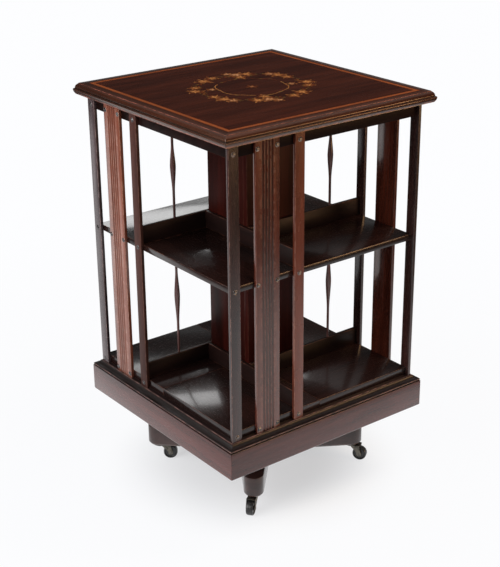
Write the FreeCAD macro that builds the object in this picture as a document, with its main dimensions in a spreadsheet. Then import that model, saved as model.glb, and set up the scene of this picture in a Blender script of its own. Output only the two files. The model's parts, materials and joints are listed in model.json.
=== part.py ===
import FreeCAD, Part

import math
import os
import re

import Sketcher

# Revolving bookcase: a two-tier square case with four compartments a tier,
# set round a square core, which turns on an iron post that stands on a
# cruciform base with four castors.
#
# Millimetres. +Z is up, the origin is on the floor under the turning axis.
# Face 0 of the case looks along -Y. What repeats on the four faces is made
# for face 0 and turned by quarter turns.

doc = FreeCAD.newDocument("RevolvingBookcase")
sheet = doc.addObject("Spreadsheet::Sheet", "dims")

# Driving dimensions -------------------------------------------------------

DIMENSIONS = [
    # case
    ("case_width", 459),          # over the faces of the upright slats
    ("slat_thick", 7),
    ("corner_width", 22.5),
    ("fluted_width", 54),
    ("narrow_width", 22),
    ("slat_gap", 36),             # between neighbouring slats of one face
    ("flute_count", 4),
    ("flute_pitch", 7),
    ("flute_radius", 2.9),
    ("flute_depth", 2),
    ("core_width", 127),
    ("core_thick", 12),
    ("fence_thick", 8),
    ("fence_height", 36),
    ("spindle_end_radius", 2.7),
    ("spindle_belly_radius", 5.8),
    ("spindle_neck", 0.27),       # straight part at each end, as a share of the spindle
    ("spindle_belly", 0.52),      # height of the belly, as a share of the spindle
    # levels of the case, from the bottom board up
    ("board_thick", 16.5),
    ("lower_tier", 279.5),
    ("shelf_thick", 12.5),
    ("upper_tier", 239),
    ("frieze_height", 28),
    ("shelf_fit", 0.1),           # middle shelf round the core
    ("board_joint", 0.1),         # between the four lengths of a shelf or bottom
    # moulded top
    ("top_width", 500),           # over the nosing
    ("top_thick", 22),
    ("top_flat", 8.5),            # nosing to the edge of the flat field
    ("ovolo_drop", 8),
    ("ovolo_run", 5),
    ("ovolo_radius", 9),
    ("quirk", 1.2),
    ("nosing_radius", 7),
    ("nosing_under", 2.5),        # set-back of the lower arris from the nosing
    ("string_half", 221.5),       # turning axis to the middle of the inlaid band
    ("string_width", 9),
    ("string_thick", 1),
    # plinth
    ("skirt_width", 490),
    ("skirt_thick", 18),
    ("skirt_height", 56.5),
    ("skirt_arris", 3),
    ("moulding_height", 12.5),
    ("moulding_shelf", 13),       # skirt face back to the flat ledge
    ("moulding_deep", 50),        # ledge to the inner edge, under the board
    ("cove_radius", 9),
    ("cove_drop", 6.5),
    ("bead_drop", 4.2),
    ("bead_radius", 2.4),
    ("bead_set", 1),              # bead face behind the skirt face
    ("groove_depth", 2),
    # slat screws
    ("screw_radius", 1.6),
    ("screw_bore_radius", 1.7),
    ("screw_head_radius", 3.6),
    ("screw_head_height", 1.6),
    ("screw_head_slope", 40),     # degrees, side of the head from upright
    ("screw_inset", 5),           # screws of the fluted slats from its edges
    ("frieze_screw_drop", 19),    # under the moulded top
    # turning post and bearings
    ("post_radius", 10),
    ("post_fit", 0.05),           # running fit in the bush and the bearing plate
    ("post_room", 0.3),           # round the post in wood
    ("post_foot", 40),            # length of post let into the cross bars
    ("post_top", 18),             # length of post inside the frieze
    ("flange_radius", 45),
    ("flange_thick", 4),
    ("washer_radius", 30),
    ("washer_thick", 2),
    ("bearing_radius", 55),
    ("bearing_thick", 6),
    ("running_gap", 0.3),
    ("bush_radius", 14),
    ("bush_length", 20),
    ("bush_flange_radius", 24),
    ("bush_flange_thick", 3),
    ("bush_fit", 0.05),
    # base
    ("base_turn", 6.5),           # degrees, base against the case
    ("bar_height", 45),
    ("bar_tip_radius", 20),
    ("bar_reach", 208),           # axis to the middle of the rounded end
    ("bar_root", 40),             # half width where the bars cross
    ("lap_fit", 0.1),
    ("hub_radius", 60),
    ("hub_height", 121.2),
    # castors
    ("castor_height", 38),
    ("castor_radius", 204),       # axis to the castor pins
    ("castor_trail", 22),
    ("plate_radius", 16),
    ("plate_thick", 2.5),
    ("pin_radius", 4),
    ("pin_fit", 0.05),
    ("pin_length", 26),
    ("pin_room", 0.3),
    ("bridge_thick", 3.8),
    ("bridge_radius", 9),
    ("cheek_thick", 2.2),
    ("cheek_gap", 0.4),           # wheel to cheek
    ("boss_radius", 5),
    ("wheel_radius", 15),
    ("wheel_width", 14),
    ("wheel_crown", 2),
    ("axle_radius", 2),
    ("axle_fit", 0.05),
    ("axle_seat", 0.02),
    ("axle_proud", 0.6),
    # heading of each castor's wheel from its pin, in degrees from +X
    ("heading_back", -100),
    ("heading_left", -35),
    ("heading_near", -144),
    ("heading_right", -57),
]

for row, (name, size) in enumerate(DIMENSIONS, start=1):
    sheet.set("A%d" % row, name)
    sheet.set("B%d" % row, str(size))
    sheet.setAlias("B%d" % row, name)
doc.recompute()

# Sizes that follow from the driving dimensions ------------------------------

DERIVED = {
    "case_half": "case_width / 2",
    "board_half": "case_half - slat_thick",
    "core_half": "core_width / 2",
    "fence_outer": "core_half + fence_thick",
    "top_half": "top_width / 2",
    "flat_half": "top_half - top_flat",
    "skirt_half": "skirt_width / 2",
    # levels above the floor
    "bar_under": "castor_height",
    "bar_top": "bar_under + bar_height",
    "hub_top": "bar_top + hub_height",
    "flange_top": "hub_top + flange_thick",
    "washer_top": "flange_top + washer_thick",
    "bearing_under": "washer_top + running_gap",
    "board_under": "bearing_under + bearing_thick",
    "moulding_under": "board_under - moulding_height",
    "skirt_under": "moulding_under - skirt_height",
    "board_top": "board_under + board_thick",
    "shelf_under": "board_top + lower_tier",
    "shelf_top": "shelf_under + shelf_thick",
    "sub_under": "shelf_top + upper_tier",
    "slab_under": "sub_under + frieze_height",
    "slab_top": "slab_under + top_thick",
    # starts of the slats of one face, from its left corner
    "fluted_start": "corner_width + slat_gap",
    "narrow_start": "fluted_start + fluted_width + slat_gap",
    # spindle axis: half way along the open part of a fence
    "spindle_x": "(core_half + board_half) / 2",
    "spindle_y": "core_half + fence_thick / 2",
    # castor
    "plate_under": "castor_height - plate_thick",
    "bridge_top": "plate_under - running_gap",
    "bridge_under": "bridge_top - bridge_thick",
    "cheek_inner": "wheel_width / 2 + cheek_gap",
    "cheek_outer": "cheek_inner + cheek_thick",
}

WORD = re.compile(r"[a-z][a-z_]+\b(?!\()")


def formula(text):
    """A size formula in plain names, as an expression on the sheet."""
    def expand(match):
        word = match.group(0)
        if word in DERIVED:
            return "(" + formula(DERIVED[word]) + ")"
        return "dims." + word
    return WORD.sub(expand, str(text))


def value(text):
    """The present value of a size formula."""
    return float(sheet.evalExpression(formula(text)))


# Modelling helpers ----------------------------------------------------------

PARTS = []
UP = FreeCAD.Vector(0, 0, 1)
QUARTERS = range(4)
THROUGH = "Symmetric"


def turned(angle, x=0, y=0):
    """A placement turned about the vertical, in degrees."""
    return FreeCAD.Placement(FreeCAD.Vector(x, y, 0), FreeCAD.Rotation(UP, angle))


def new_body(label, placement=None):
    body = doc.addObject("PartDesign::Body", label)
    body.Label = label
    if placement:
        body.Placement = placement
    PARTS.append(body)
    return body


def origin_item(body, role):
    for item in body.Origin.OriginFeatures:
        if item.Role == role:
            return item
    raise ValueError(role)


def new_sketch(body, name, plane, along="0", across="0", up="0"):
    """A sketch on an origin plane, moved in its own frame by three formulas."""
    sketch = body.newObject("Sketcher::SketchObject", name)
    sketch.AttachmentSupport = (origin_item(body, plane), [""])
    sketch.MapMode = "FlatFace"
    sketch.setExpression("AttachmentOffset.Base.x", formula(along))
    sketch.setExpression("AttachmentOffset.Base.y", formula(across))
    sketch.setExpression("AttachmentOffset.Base.z", formula(up))
    return sketch


def fix(sketch, kind, geometry, point, text, name):
    """Bind a distance from the sketch origin to a formula."""
    constraint = Sketcher.Constraint(kind, -1, 1, geometry, point, value(text))
    index = sketch.addConstraint(constraint)
    sketch.renameConstraint(index, name)
    sketch.setExpression("Constraints." + name, formula(text))


def fix_radius(sketch, geometry, text, name):
    index = sketch.addConstraint(Sketcher.Constraint("Radius", geometry, value(text)))
    sketch.renameConstraint(index, name)
    sketch.setExpression("Constraints." + name, formula(text))


def arc_between(start, end, radius, left):
    """The short arc from start to end, with its centre on the left or right."""
    chord = end - start
    middle = start + chord * 0.5
    side = FreeCAD.Vector(-chord.y, chord.x, 0)
    side.normalize()
    rise = math.sqrt(max(radius ** 2 - (chord.Length / 2) ** 2, 0))
    centre = middle + side * (rise if left else -rise)
    first, last = (start, end) if left else (end, start)
    angles = [math.atan2(p.y - centre.y, p.x - centre.x) for p in (first, last)]
    return Part.ArcOfCircle(Part.Circle(centre, UP, radius), angles[0], angles[1])


def outline(sketch, points, bends=None):
    """A closed outline through points given as pairs of formulas.

    bends maps the number of a side to (radius, centre is on the left).
    """
    bends = bends or {}
    corners = [FreeCAD.Vector(value(x), value(y), 0) for x, y in points]
    count = len(corners)
    ends = []
    first = sketch.GeometryCount
    for side in range(count):
        start, end = corners[side], corners[(side + 1) % count]
        if side in bends:
            radius, left = bends[side]
            sketch.addGeometry(arc_between(start, end, value(radius), left), False)
            ends.append((1, 2) if left else (2, 1))
        else:
            sketch.addGeometry(Part.LineSegment(start, end), False)
            ends.append((1, 2))
    for side in range(count):
        before = (side - 1) % count
        sketch.addConstraint(Sketcher.Constraint(
            "Coincident", first + before, ends[before][1], first + side, ends[side][0]))
    for side, (x, y) in enumerate(points):
        label = "%d" % (first + side)
        fix(sketch, "DistanceX", first + side, ends[side][0], x, "x" + label)
        fix(sketch, "DistanceY", first + side, ends[side][0], y, "y" + label)
        if side in bends:
            fix_radius(sketch, first + side, bends[side][0], "r" + label)


def rectangle(sketch, left, right, bottom, top):
    outline(sketch, [(left, bottom), (right, bottom), (right, top), (left, top)])


def square(sketch, half):
    rectangle(sketch, "-(%s)" % half, half, "-(%s)" % half, half)


def circle(sketch, x, y, radius):
    number = sketch.GeometryCount
    centre = FreeCAD.Vector(value(x), value(y), 0)
    sketch.addGeometry(Part.Circle(centre, UP, value(radius)), False)
    fix(sketch, "DistanceX", number, 3, x, "cx%d" % number)
    fix(sketch, "DistanceY", number, 3, y, "cy%d" % number)
    fix_radius(sketch, number, radius, "cr%d" % number)


def pad(body, sketch, length, name):
    feature = body.newObject("PartDesign::Pad", name)
    feature.Profile = sketch
    feature.setExpression("Length", formula(length))
    return feature


def pocket(body, sketch, name):
    """Cut the sketch right through the body, both ways."""
    feature = body.newObject("PartDesign::Pocket", name)
    feature.Profile = sketch
    feature.Type = "ThroughAll"
    feature.SideType = THROUGH
    return feature


def blind_pocket(body, sketch, depth, name, reverse=False):
    """Cut the sketch to a depth, against the normal of its plane or along it."""
    feature = body.newObject("PartDesign::Pocket", name)
    feature.Profile = sketch
    feature.Type = "Length"
    feature.setExpression("Length", formula(depth))
    feature.Reversed = reverse


def revolve(body, sketch, axis, name):
    feature = body.newObject("PartDesign::Revolution", name)
    feature.Profile = sketch
    feature.ReferenceAxis = (sketch, [axis])
    feature.Angle = 360
    return feature


def around(body, features, name):
    """Repeat features on the four sides of the body."""
    pattern = body.newObject("PartDesign::PolarPattern", name)
    pattern.Originals = features
    pattern.Axis = (origin_item(body, "Z_Axis"), [""])
    pattern.Angle = 360
    pattern.Occurrences = 4
    body.Tip = pattern
    return pattern


def board(label, plane_level, thick, half, placement=None):
    """A square board centred on the turning axis."""
    body = new_body(label, placement)
    sketch = new_sketch(body, label + "_plan", "XY_Plane", up=plane_level)
    square(sketch, half)
    pad(body, sketch, thick, label + "_pad")
    return body


def bore(body, radius, name):
    """A hole through the body on the turning axis."""
    sketch = new_sketch(body, name + "_plan", "XY_Plane")
    circle(sketch, "0", "0", radius)
    pocket(body, sketch, name)


# Moulded top ---------------------------------------------------------------

def make_top_slab():
    """Square top with an ovolo, a quirk and a rounded nosing on its edge."""
    body = board("top_slab", "slab_under", "top_thick", "top_half")
    waste = new_sketch(body, "edge_waste", "YZ_Plane")
    out = "-(top_half + top_thick)"
    quirk_level = "slab_top - quirk - ovolo_drop"
    outline(waste, [
        ("-flat_half", "slab_top + quirk"),
        ("-flat_half", "slab_top - quirk"),
        ("-(flat_half + ovolo_run)", quirk_level),
        ("-(flat_half + ovolo_run + quirk)", quirk_level),
        ("-(top_half - nosing_under)", "slab_under"),
        ("-(top_half - nosing_under)", "slab_under - quirk"),
        (out, "slab_under - quirk"),
        (out, "slab_top + quirk"),
    ], {1: ("ovolo_radius", True), 3: ("nosing_radius", True)})
    edge = pocket(body, waste, "edge_moulding")
    around(body, [edge], "edge_mouldings")
    groove = new_sketch(body, "string_groove_plan", "XY_Plane", up="slab_top")
    square(groove, "string_half + string_width / 2")
    square(groove, "string_half - string_width / 2")
    blind_pocket(body, groove, "string_thick", "string_groove")


def make_top_stringing():
    """Band of light wood let into the top, flush with it."""
    body = new_body("top_stringing")
    level = "slab_top - string_thick"
    sketch = new_sketch(body, "string_plan", "XY_Plane", up=level)
    square(sketch, "string_half + string_width / 2")
    square(sketch, "string_half - string_width / 2")
    pad(body, sketch, "string_thick", "string_pad")


# Boards and core -------------------------------------------------------------

def make_sub_top():
    """Board under the moulded top; its edge is the frieze behind the slats."""
    body = board("sub_top", "sub_under", "frieze_height", "board_half")
    bore(body, "bush_radius + bush_fit", "bush_bore")


def make_four_lengths(label, level, thick, hole):
    """A square board in four lengths, set like the compartments round a hole."""
    body = new_body(label)
    sketch = new_sketch(body, label + "_length_plan", "XY_Plane", up=level)
    rectangle(sketch, "-(%s)" % hole, "board_half",
              "-board_half", "-(%s + board_joint)" % hole)
    length = pad(body, sketch, thick, label + "_length")
    around(body, [length], label + "_lengths")


def make_core_boards():
    """Four boards round the turning axis, each lapping the next one's edge."""
    for face in QUARTERS:
        label = "core_board_%d" % (face + 1)
        body = new_body(label, turned(90 * face))
        sketch = new_sketch(body, label + "_plan", "XY_Plane", up="board_top")
        rectangle(sketch, "-core_half", "core_half - core_thick",
                  "-core_half", "core_thick - core_half")
        pad(body, sketch, "sub_under - board_top", label + "_pad")


def make_fences(tier, level):
    """Low rails that keep the books of two compartments apart."""
    for face in QUARTERS:
        label = "%s_fence_%d" % (tier, face + 1)
        body = new_body(label, turned(90 * face))
        sketch = new_sketch(body, label + "_plan", "XY_Plane", up=level)
        rectangle(sketch, "-core_half", "board_half", "-fence_outer", "-core_half")
        pad(body, sketch, "fence_height", label + "_pad")


def make_spindles(tier, level, ceiling):
    """A lozenge-shaped spindle on each fence, up to the board above."""
    body = new_body(tier + "_spindles")
    foot = "(%s + fence_height)" % level
    length = "(%s - %s)" % (ceiling, foot)
    sketch = new_sketch(body, tier + "_spindle_half", "XZ_Plane",
                        along="spindle_x", across=foot, up="spindle_y")
    belly = length + " * spindle_belly"
    neck = length + " * spindle_neck"
    outline(sketch, [
        ("0", "0"),
        ("spindle_end_radius", "0"),
        ("spindle_end_radius", neck),
        ("spindle_belly_radius", belly),
        ("spindle_end_radius", length + " - " + neck),
        ("spindle_end_radius", length),
        ("0", length),
    ])
    spindle = revolve(body, sketch, "V_Axis", tier + "_spindle")
    around(body, [spindle], tier + "_spindle_ring")


# Upright slats ---------------------------------------------------------------

SCREW_LEVELS = [
    "board_under + board_thick / 2",
    "shelf_under + shelf_thick / 2",
    "slab_under - frieze_screw_drop",
]
SLATS = {
    "corner": ("0", "corner_width", ["corner_width / 2"]),
    "fluted": ("fluted_start", "fluted_width",
               ["screw_inset", "fluted_width - screw_inset"]),
    "narrow": ("narrow_start", "narrow_width", ["narrow_width / 2"]),
}


def face_x(text):
    """A distance from the left corner of face 0, as a place on X."""
    return "-case_half + %s" % text


def make_slat(kind, face):
    start, width, screws = SLATS[kind]
    label = "%s_slat_%d" % (kind, face + 1)
    body = new_body(label, turned(90 * face))
    front = new_sketch(body, label + "_front", "XZ_Plane", up="board_half")
    left = face_x(start)
    rectangle(front, left, "%s + %s" % (left, width), "board_under", "slab_under")
    pad(body, front, "slat_thick", label + "_pad")
    holes = new_sketch(body, label + "_screw_plan", "XZ_Plane")
    for level in SCREW_LEVELS:
        for place in screws:
            circle(holes, "%s + %s" % (left, place), level, "screw_bore_radius")
    pocket(body, holes, label + "_screw_holes")
    if kind == "fluted":
        add_flutes(body, label, left)


def add_flutes(body, label, left):
    """Upright hollow flutes, spread about the middle of the slat."""
    section = new_sketch(body, label + "_flute_section", "XY_Plane")
    first = "%s + fluted_width / 2 - flute_pitch * (flute_count - 1) / 2" % left
    circle(section, first, "-(case_half + flute_radius - flute_depth)", "flute_radius")
    flute = pocket(body, section, label + "_flute")
    row = body.newObject("PartDesign::LinearPattern", label + "_flutes")
    row.Originals = [flute]
    row.Direction = (origin_item(body, "X_Axis"), [""])
    row.setExpression("Length", formula("flute_pitch * (flute_count - 1)"))
    row.setExpression("Occurrences", formula("flute_count"))
    body.Tip = row


def make_slats():
    for kind in SLATS:
        for face in QUARTERS:
            make_slat(kind, face)


def make_slat_screws():
    """Round-headed screws that hold the slats to the boards' edges."""
    body = new_body("slat_screws")
    shanks = new_sketch(body, "screw_shank_plan", "XZ_Plane", up="board_half")
    heads = new_sketch(body, "screw_head_plan", "XZ_Plane", up="case_half")
    for start, width, screws in SLATS.values():
        for place in screws:
            for level in SCREW_LEVELS:
                x = face_x("%s + %s" % (start, place))
                circle(shanks, x, level, "screw_radius")
                circle(heads, x, level, "screw_head_radius")
    shank = pad(body, shanks, "slat_thick", "screw_shanks")
    head = pad(body, heads, "screw_head_height", "screw_heads")
    head.setExpression("TaperAngle", formula("-screw_head_slope"))
    around(body, [shank, head], "screw_faces")


# Plinth ------------------------------------------------------------------------

def make_plinth_moulding():
    """Frame under the bottom board, moulded with a cove, a bead and a groove."""
    body = board("plinth_moulding", "moulding_under", "moulding_height", "skirt_half")
    ledge = "skirt_half - moulding_shelf"
    inner = new_sketch(body, "moulding_hole_plan", "XY_Plane")
    square(inner, "%s - moulding_deep" % ledge)
    pocket(body, inner, "moulding_hole")
    waste = new_sketch(body, "moulding_waste", "YZ_Plane")
    out = "-(skirt_half + skirt_thick)"
    over = "board_under + bead_drop"
    under = "moulding_under - bead_drop"
    cove_foot = "board_under - cove_drop"
    bead_face = "-(skirt_half - bead_set)"
    bead_top = "%s - bead_set" % cove_foot
    bead_foot = "%s - bead_drop" % bead_top
    groove_face = "-(skirt_half - bead_set - groove_depth)"
    outline(waste, [
        ("-(%s)" % ledge, over),
        ("-(%s)" % ledge, "board_under - bead_set"),
        (groove_face, cove_foot),
        (groove_face, bead_top),
        (bead_face, "%s - bead_drop / 4" % bead_top),
        (bead_face, "%s - bead_drop * 3 / 4" % bead_top),
        (groove_face, bead_foot),
        (groove_face, under),
        (out, under),
        (out, over),
    ], {1: ("cove_radius", False), 3: ("bead_radius", True), 5: ("bead_radius", True)})
    edge = pocket(body, waste, "moulding_edge")
    around(body, [edge], "moulding_edges")


def make_plinth_skirts():
    """Four mitred boards with a softened lower arris."""
    for face in QUARTERS:
        label = "plinth_skirt_%d" % (face + 1)
        body = new_body(label, turned(90 * face))
        sketch = new_sketch(body, label + "_plan", "XY_Plane", up="skirt_under")
        inner = "skirt_half - skirt_thick"
        outline(sketch, [
            ("-skirt_half", "-skirt_half"),
            ("skirt_half", "-skirt_half"),
            (inner, "-(%s)" % inner),
            ("-(%s)" % inner, "-(%s)" % inner),
        ])
        pad(body, sketch, "skirt_height", label + "_pad")
        corner = new_sketch(body, label + "_arris", "YZ_Plane")
        outline(corner, [
            ("-(skirt_half + skirt_arris)", "skirt_under - skirt_arris"),
            ("skirt_arris - skirt_half", "skirt_under - skirt_arris"),
            ("skirt_arris - skirt_half", "skirt_under"),
            ("-skirt_half", "skirt_under + skirt_arris"),
            ("-(skirt_half + skirt_arris)", "skirt_under + skirt_arris"),
        ], {2: ("skirt_arris", False)})
        pocket(body, corner, label + "_round")


# Turning post and bearings -----------------------------------------------------

def make_pivot_post():
    """Iron post with the flange that stands on the hub."""
    body = new_body("pivot_post")
    half = new_sketch(body, "post_half", "XZ_Plane")
    outline(half, [
        ("0", "bar_top - post_foot"),
        ("post_radius", "bar_top - post_foot"),
        ("post_radius", "hub_top"),
        ("flange_radius", "hub_top"),
        ("flange_radius", "flange_top"),
        ("post_radius", "flange_top"),
        ("post_radius", "sub_under + post_top"),
        ("0", "sub_under + post_top"),
    ])
    revolve(body, half, "V_Axis", "post_turn")


def make_ring(label, outer, inner, level, thick):
    body = new_body(label)
    sketch = new_sketch(body, label + "_plan", "XY_Plane", up=level)
    circle(sketch, "0", "0", outer)
    circle(sketch, "0", "0", inner)
    pad(body, sketch, thick, label + "_pad")


def make_bearings():
    running = "post_radius + post_fit"
    make_ring("thrust_washer", "washer_radius", running, "flange_top", "washer_thick")
    make_ring("bearing_plate", "bearing_radius", running, "bearing_under", "bearing_thick")
    body = new_body("top_bush")
    half = new_sketch(body, "bush_half", "XZ_Plane")
    outline(half, [
        (running, "sub_under - bush_flange_thick"),
        ("bush_flange_radius", "sub_under - bush_flange_thick"),
        ("bush_flange_radius", "sub_under"),
        ("bush_radius", "sub_under"),
        ("bush_radius", "sub_under + bush_length"),
        (running, "sub_under + bush_length"),
    ])
    revolve(body, half, "V_Axis", "bush_turn")


# Base ----------------------------------------------------------------------------

def bar_turn():
    """Heading of the first cross bar: a case diagonal, turned a little."""
    return 45 + value("base_turn")


def bar_outline(sketch):
    """Plan of a cross bar: straight tapers to two rounded ends."""
    reach, tip = "bar_reach", "bar_tip_radius"
    outline(sketch, [
        ("0", "-bar_root"),
        (reach, "-" + tip),
        ("%s + %s" % (reach, tip), "0"),
        (reach, tip),
        ("0", "bar_root"),
        ("-" + reach, tip),
        ("-(%s + %s)" % (reach, tip), "0"),
        ("-" + reach, "-" + tip),
    ], {1: (tip, True), 2: (tip, True), 5: (tip, True), 6: (tip, True)})


def make_cross_bar(label, heading, lap_level):
    """A cross bar with half its height cut away where the other bar laps it."""
    body = new_body(label, turned(heading))
    plan = new_sketch(body, label + "_plan", "XY_Plane", up="bar_under")
    bar_outline(plan)
    pad(body, plan, "bar_height", label + "_pad")
    lap = new_sketch(body, label + "_lap", "XY_Plane", up=lap_level)
    slope = "((bar_root - bar_tip_radius) / bar_reach)"
    wide = "(bar_root + lap_fit)"
    over = "(bar_root + 2 * lap_fit)"
    edge = "(%s - %s * %s)" % (wide, slope, over)
    outline(lap, [
        (wide, "0"),
        (edge, over),
        ("-" + edge, over),
        ("-" + wide, "0"),
        ("-" + edge, "-" + over),
        (edge, "-" + over),
    ])
    blind_pocket(body, lap, "bar_height / 2", label + "_lap_cut",
                 reverse=lap_level == "bar_under")
    bore(body, "post_radius + post_room", label + "_post_bore")
    pins = new_sketch(body, label + "_pin_plan", "XY_Plane", up="bar_under")
    circle(pins, "castor_radius", "0", "pin_radius + pin_room")
    circle(pins, "-castor_radius", "0", "pin_radius + pin_room")
    blind_pocket(body, pins, "pin_length", label + "_pin_bores", reverse=True)


def make_base():
    make_cross_bar("cross_bar_lower", bar_turn(), "bar_top")
    make_cross_bar("cross_bar_upper", bar_turn() + 90, "bar_under")
    make_ring("base_hub", "hub_radius", "post_radius + post_room", "bar_top", "hub_height")


# Castors ---------------------------------------------------------------------------

CASTORS = ["back", "left", "near", "right"]


def castor_place(number):
    """Pin axis on the floor, with +X along the trail of the wheel."""
    angle = math.radians(bar_turn() + 90 * number)
    radius = value("castor_radius")
    heading = value("heading_" + CASTORS[number])
    return turned(heading, radius * math.cos(angle), radius * math.sin(angle))


def make_castor_plates():
    body = new_body("castor_plates", turned(bar_turn()))
    sketch = new_sketch(body, "castor_plate_plan", "XY_Plane", up="plate_under")
    circle(sketch, "castor_radius", "0", "plate_radius")
    circle(sketch, "castor_radius", "0", "pin_radius + pin_fit")
    plate = pad(body, sketch, "plate_thick", "castor_plate")
    around(body, [plate], "castor_plate_ring")


def make_castor_horn(number):
    """Swivelling horn: pin, bridge over the wheel and two cheeks."""
    label = "castor_horn_" + CASTORS[number]
    body = new_body(label, castor_place(number))
    bridge = new_sketch(body, label + "_bridge_plan", "XY_Plane", up="bridge_under")
    outline(bridge, [
        ("0", "-bridge_radius"),
        ("castor_trail", "-cheek_outer"),
        ("castor_trail", "cheek_outer"),
        ("0", "bridge_radius"),
        ("-bridge_radius", "0"),
    ], {3: ("bridge_radius", True), 4: ("bridge_radius", True)})
    pad(body, bridge, "bridge_thick", label + "_bridge")
    side = new_sketch(body, label + "_cheek_side", "XZ_Plane", up="cheek_inner")
    axle = ("castor_trail", "wheel_radius")
    outline(side, [
        (axle[0] + " - boss_radius", axle[1]),
        (axle[0], axle[1] + " - boss_radius"),
        (axle[0] + " + boss_radius", axle[1]),
        ("castor_trail", "bridge_under"),
        ("boss_radius", "bridge_under"),
    ], {0: ("boss_radius", True), 1: ("boss_radius", True)})
    cheek = pad(body, side, "cheek_thick", label + "_cheek")
    pair = body.newObject("PartDesign::Mirrored", label + "_cheeks")
    pair.Originals = [cheek]
    pair.MirrorPlane = (origin_item(body, "XZ_Plane"), [""])
    body.Tip = pair
    pin = new_sketch(body, label + "_pin_plan", "XY_Plane", up="bridge_top")
    circle(pin, "0", "0", "pin_radius")
    pad(body, pin, "pin_length", label + "_pin")
    hole = new_sketch(body, label + "_axle_plan", "XZ_Plane")
    circle(hole, axle[0], axle[1], "axle_radius + axle_seat")
    pocket(body, hole, label + "_axle_hole")


def make_castor_axle(number):
    """Pin through the cheeks, a little proud of them."""
    label = "castor_axle_" + CASTORS[number]
    axle = doc.addObject("Part::Cylinder", label)
    axle.Label = label
    axle.setExpression("Radius", formula("axle_radius"))
    axle.setExpression("Height", formula("2 * (cheek_outer + axle_proud)"))
    start = FreeCAD.Vector(value("castor_trail"), -value("cheek_outer + axle_proud"),
                           value("wheel_radius"))
    across = FreeCAD.Placement(start, FreeCAD.Rotation(FreeCAD.Vector(1, 0, 0), -90))
    axle.Placement = castor_place(number).multiply(across)
    PARTS.append(axle)


def make_castor_wheel(number):
    label = "castor_wheel_" + CASTORS[number]
    body = new_body(label, castor_place(number))
    half = new_sketch(body, label + "_half", "YZ_Plane",
                      across="wheel_radius", up="castor_trail")
    side = "wheel_width / 2"
    shoulder = "(wheel_width / 2 - wheel_crown)"
    hole = "axle_radius + axle_fit"
    outline(half, [
        ("-" + side, hole),
        (side, hole),
        (side, "wheel_radius - wheel_crown"),
        (shoulder, "wheel_radius"),
        ("-" + shoulder, "wheel_radius"),
        ("-" + side, "wheel_radius - wheel_crown"),
    ], {2: ("wheel_crown", True), 4: ("wheel_crown", True)})
    revolve(body, half, "H_Axis", label + "_turn")


def make_castors():
    make_castor_plates()
    for number in range(len(CASTORS)):
        make_castor_horn(number)
        make_castor_axle(number)
        make_castor_wheel(number)


# Build, check and export -------------------------------------------------------------

make_top_slab()
make_top_stringing()
make_sub_top()
make_four_lengths("middle_shelf", "shelf_under", "shelf_thick", "core_half + shelf_fit")
make_four_lengths("bottom_board", "board_under", "board_thick", "post_radius + post_room")
make_core_boards()
make_fences("lower", "board_top")
make_fences("upper", "shelf_top")
make_spindles("lower", "board_top", "shelf_under")
make_spindles("upper", "shelf_top", "sub_under")
make_slats()
make_slat_screws()
make_plinth_moulding()
make_plinth_skirts()
make_pivot_post()
make_bearings()
make_base()
make_castors()
doc.recompute()

for item in doc.Objects:
    if "Invalid" in item.State or "Error" in item.State:
        raise RuntimeError("%s: %s" % (item.Name, item.State))

os.makedirs("parts", exist_ok=True)
for part in PARTS:
    shape = part.Shape
    if shape.isNull() or not shape.isValid():
        raise RuntimeError("%s has no valid shape" % part.Label)
    shape.exportStep("parts/%s.step" % part.Label)
    print("%-20s solids %2d  volume %12.1f" % (part.Label, len(shape.Solids), shape.Volume))
print("%d parts" % len(PARTS))
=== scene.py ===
import json
import math
import random

import bmesh
import bpy
from mathutils import Matrix, Vector


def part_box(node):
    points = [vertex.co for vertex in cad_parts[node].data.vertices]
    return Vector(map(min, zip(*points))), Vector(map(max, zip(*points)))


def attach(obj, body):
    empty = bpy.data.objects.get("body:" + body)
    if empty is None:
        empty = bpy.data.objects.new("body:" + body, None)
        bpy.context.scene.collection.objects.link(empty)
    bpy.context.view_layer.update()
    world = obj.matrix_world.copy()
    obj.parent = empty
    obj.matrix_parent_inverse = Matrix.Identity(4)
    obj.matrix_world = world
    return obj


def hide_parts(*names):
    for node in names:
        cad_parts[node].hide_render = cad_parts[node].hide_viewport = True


# Looks of the revolving bookcase. Sizes below are in millimetres in the frame of
# the model; pieces are made in metres. Face 0 of the case looks along -Y, and
# the other faces are quarter turns of it.

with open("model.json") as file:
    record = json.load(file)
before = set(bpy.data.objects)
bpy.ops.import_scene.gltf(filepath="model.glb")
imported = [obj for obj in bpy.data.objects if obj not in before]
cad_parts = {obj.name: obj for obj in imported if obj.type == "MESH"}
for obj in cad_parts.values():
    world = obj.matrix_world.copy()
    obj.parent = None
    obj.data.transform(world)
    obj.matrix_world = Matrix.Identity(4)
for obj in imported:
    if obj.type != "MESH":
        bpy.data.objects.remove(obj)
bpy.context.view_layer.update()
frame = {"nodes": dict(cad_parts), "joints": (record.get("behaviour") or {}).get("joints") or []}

MM = 0.001
CORNERS = ((-1, -1), (1, -1), (1, 1), (-1, 1))
CASTORS = ("back", "left", "near", "right")


def levels(node):
    """Heights of the underside and the top of a CAD node, in mm."""
    return [corner.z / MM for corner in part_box(node)]


def quarter(k):
    """Turn of face k of the case, in radians."""
    return math.radians(90 * k)


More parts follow.
